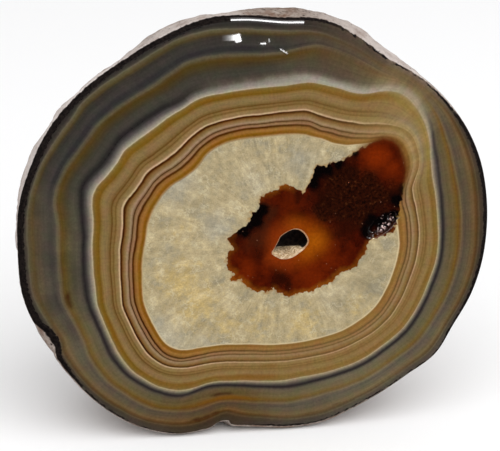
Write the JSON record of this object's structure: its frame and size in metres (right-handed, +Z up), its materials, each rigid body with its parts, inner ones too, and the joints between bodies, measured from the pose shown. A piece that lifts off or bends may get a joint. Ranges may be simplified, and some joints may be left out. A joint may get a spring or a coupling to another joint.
{
  "type": "polished banded agate",
  "caption": "Sawn and polished face of a banded agate nodule with a rough domed back, a quartz ring, a small open hollow at its dark middle and a ground flat to stand on.",
  "frame": {"origin": "middle of the bounding box in X and Y, at the height of the ground flat it stands on", "axes": "+Z up from the ground flat, -Y out of the polished face, +X towards the right of the polished face"},
  "size_m": [0.1528, 0.0648, 0.1361],
  "materials": {
    "banded_agate": "polished face, rough natural skin behind",
    "cream_crystals": "fine crystal crust",
    "rosy_crystals": "small glossy quartz points"
  },
  "bodies": {
    "root": {"agate": "banded_agate", "hollow_crust": "cream_crystals", "pocket_crystals": "rosy_crystals"}
  },
  "joints": []
}
